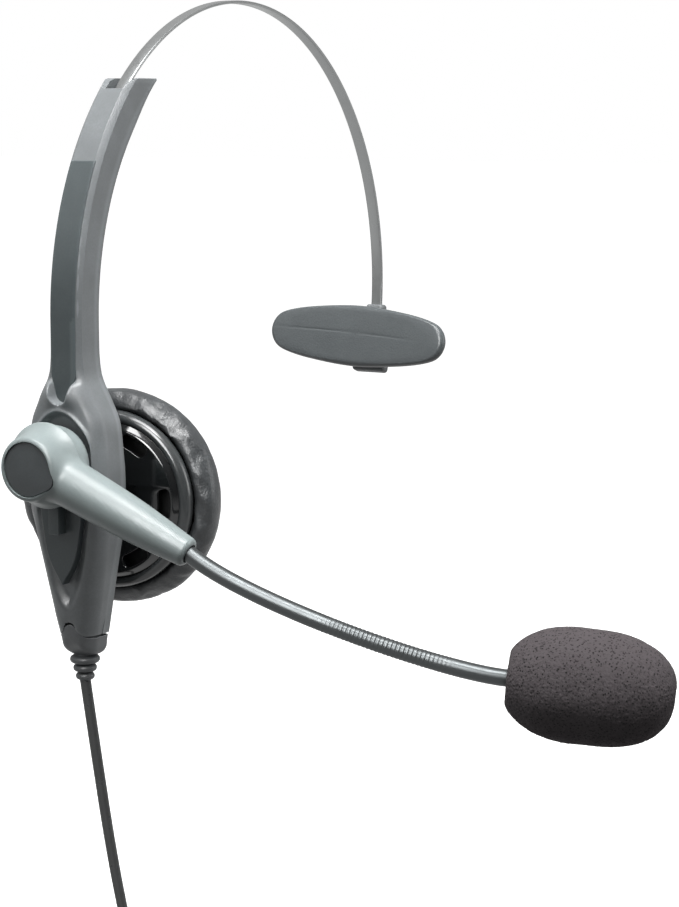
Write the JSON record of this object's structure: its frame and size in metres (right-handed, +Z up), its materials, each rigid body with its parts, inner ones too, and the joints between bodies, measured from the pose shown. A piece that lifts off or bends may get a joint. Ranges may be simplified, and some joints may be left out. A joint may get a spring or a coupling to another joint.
{
  "type": "office headset",
  "caption": "Monaural wired headset: curved arm with sliding steel headband, temple pad, swivelling ear cushion, rotating boom with bendable gooseneck and foam-covered microphone.",
  "frame": {"origin": "centre of the headband arch, where the head is", "axes": "+Z up, ear cup on -X, temple pad on +X, the wearer looks along -Y"},
  "size_m": [0.1693, 0.1692, 0.3066],
  "materials": {
    "housing_plastic": "fine grained",
    "inlay_plastic": "fine grained",
    "boom_plastic": "satin",
    "cap_plastic": "polished",
    "black_plastic": "polished",
    "nylon": "plain",
    "band_steel": "brushed",
    "neck_metal": "satin",
    "magnet_steel": "plain",
    "diaphragm_film": "thin film",
    "circuit_board": "laminate",
    "felt": "felted",
    "leatherette": "fine grain",
    "foam": "open cell",
    "pad_rubber": "matte",
    "relief_rubber": "matte",
    "cord_jacket": "matte",
    "tie_rubber": "matte",
    "contact_brass": "plain"
  },
  "bodies": {
    "housing": {"outer_shell": "housing_plastic", "inner_shell": "housing_plastic", "arm_inlay": "inlay_plastic", "boom_plate": "inlay_plastic", "boom_bush": "nylon", "shell_screws": "band_steel", "bottom_cap": "housing_plastic", "strain_relief": "relief_rubber", "terminal_board": "circuit_board", "detent_spring": "band_steel", "swivel_stem": "nylon", "cord_lead": "cord_jacket", "cord_hank": "cord_jacket", "cord_tail": "cord_jacket", "hank_tie": "tie_rubber", "connector_boot": "relief_rubber", "connector_body": "black_plastic", "connector_contacts": "contact_brass"},
    "headband_near": {"headband_near": "band_steel", "slider_block": "black_plastic", "slider_rivets": "band_steel"},
    "headband_far": {"headband_far": "band_steel", "band_end_clip": "black_plastic"},
    "temple_pad": {"temple_pad": "pad_rubber", "pad_carrier": "black_plastic", "pad_pin": "band_steel"},
    "swivel": {"swivel_race": "nylon"},
    "ear_cup": {"cup_back": "black_plastic", "race_retainer": "black_plastic", "cup_rim": "black_plastic", "speaker_frame": "black_plastic", "speaker_magnet": "magnet_steel", "diaphragm": "diaphragm_film", "damping_felt": "felt", "speaker_grille": "black_plastic", "ear_cushion": "leatherette"},
    "boom": {"boom_arm": "boom_plastic", "hub_cap": "cap_plastic", "hub_spindle": "nylon", "friction_washer": "nylon", "spindle_screw": "band_steel", "gooseneck_1": "neck_metal"},
    "neck_link_2": {"gooseneck_2": "neck_metal"},
    "neck_link_3": {"gooseneck_3": "neck_metal"},
    "neck_link_4": {"gooseneck_4": "neck_metal"},
    "neck_link_5": {"gooseneck_5": "neck_metal"},
    "microphone": {"gooseneck_6": "neck_metal", "mic_case": "black_plastic", "mic_capsule": "magnet_steel", "mic_windscreen": "foam"}
  },
  "joints": [
    {"name": "headband_extend", "type": "hinge", "parent": "housing", "child": "headband_near", "pos_m": [0, 0, 0], "axis": [0, 1, 0], "range_deg": [0, 19]},
    {"name": "headband_spread", "type": "hinge", "parent": "headband_near", "child": "headband_far", "pos_m": [0, 0, 0.075], "axis": [0, -1, 0], "range_deg": [0, 15], "stiffness_Nm_per_rad": 1},
    {"name": "temple_pad_tilt", "type": "hinge", "parent": "headband_far", "child": "temple_pad", "pos_m": [0.06929, 0, -0.01549], "axis": [0, 1, 0], "range_deg": [-12, 12]},
    {"name": "ear_cup_yaw", "type": "hinge", "parent": "housing", "child": "swivel", "pos_m": [-0.0637, 0, -0.0433], "axis": [0, 0, 1], "range_deg": [-17, 4]},
    {"name": "ear_cup_pitch", "type": "hinge", "parent": "swivel", "child": "ear_cup", "pos_m": [-0.0637, 0, -0.0433], "axis": [-0.1219, 0.9925, 0], "range_deg": [-10, 10]},
    {"name": "boom_rotation", "type": "hinge", "parent": "housing", "child": "boom", "pos_m": [-0.0869, 0, -0.0318], "axis": [1, 0, 0], "range_deg": [-257, 31]},
    {"name": "neck_bend_in_1", "type": "hinge", "parent": "boom", "child": "neck_link_2", "pos_m": [-0.083, -0.049, -0.0548], "axis": [0, -0.4147, 0.9099], "range_deg": [-15, 15]},
    {"name": "neck_bend_up_1", "type": "hinge", "parent": "neck_link_2", "child": "neck_link_3", "pos_m": [-0.08053, -0.06076, -0.0596], "axis": [-0.9724, -0.2331, 0], "range_deg": [-12, 12]},
    {"name": "neck_bend_in_2", "type": "hinge", "parent": "neck_link_3", "child": "neck_link_4", "pos_m": [-0.07736, -0.07253, -0.06384], "axis": [0, -0.3238, 0.9461], "range_deg": [-15, 15]},
    {"name": "neck_bend_up_2", "type": "hinge", "parent": "neck_link_4", "child": "neck_link_5", "pos_m": [-0.07367, -0.08431, -0.06766], "axis": [-0.9472, -0.3205, 0], "range_deg": [-12, 12]},
    {"name": "neck_bend_in_3", "type": "hinge", "parent": "neck_link_5", "child": "microphone", "pos_m": [-0.06939, -0.09608, -0.07099], "axis": [0, -0.2313, 0.9729], "range_deg": [-15, 15]}
  ],
  "couplings": [
    {"joint": "neck_bend_in_2", "follows": "neck_bend_in_1", "ratio": 1},
    {"joint": "neck_bend_up_2", "follows": "neck_bend_up_1", "ratio": 1},
    {"joint": "neck_bend_in_3", "follows": "neck_bend_in_1", "ratio": 1}
  ]
}
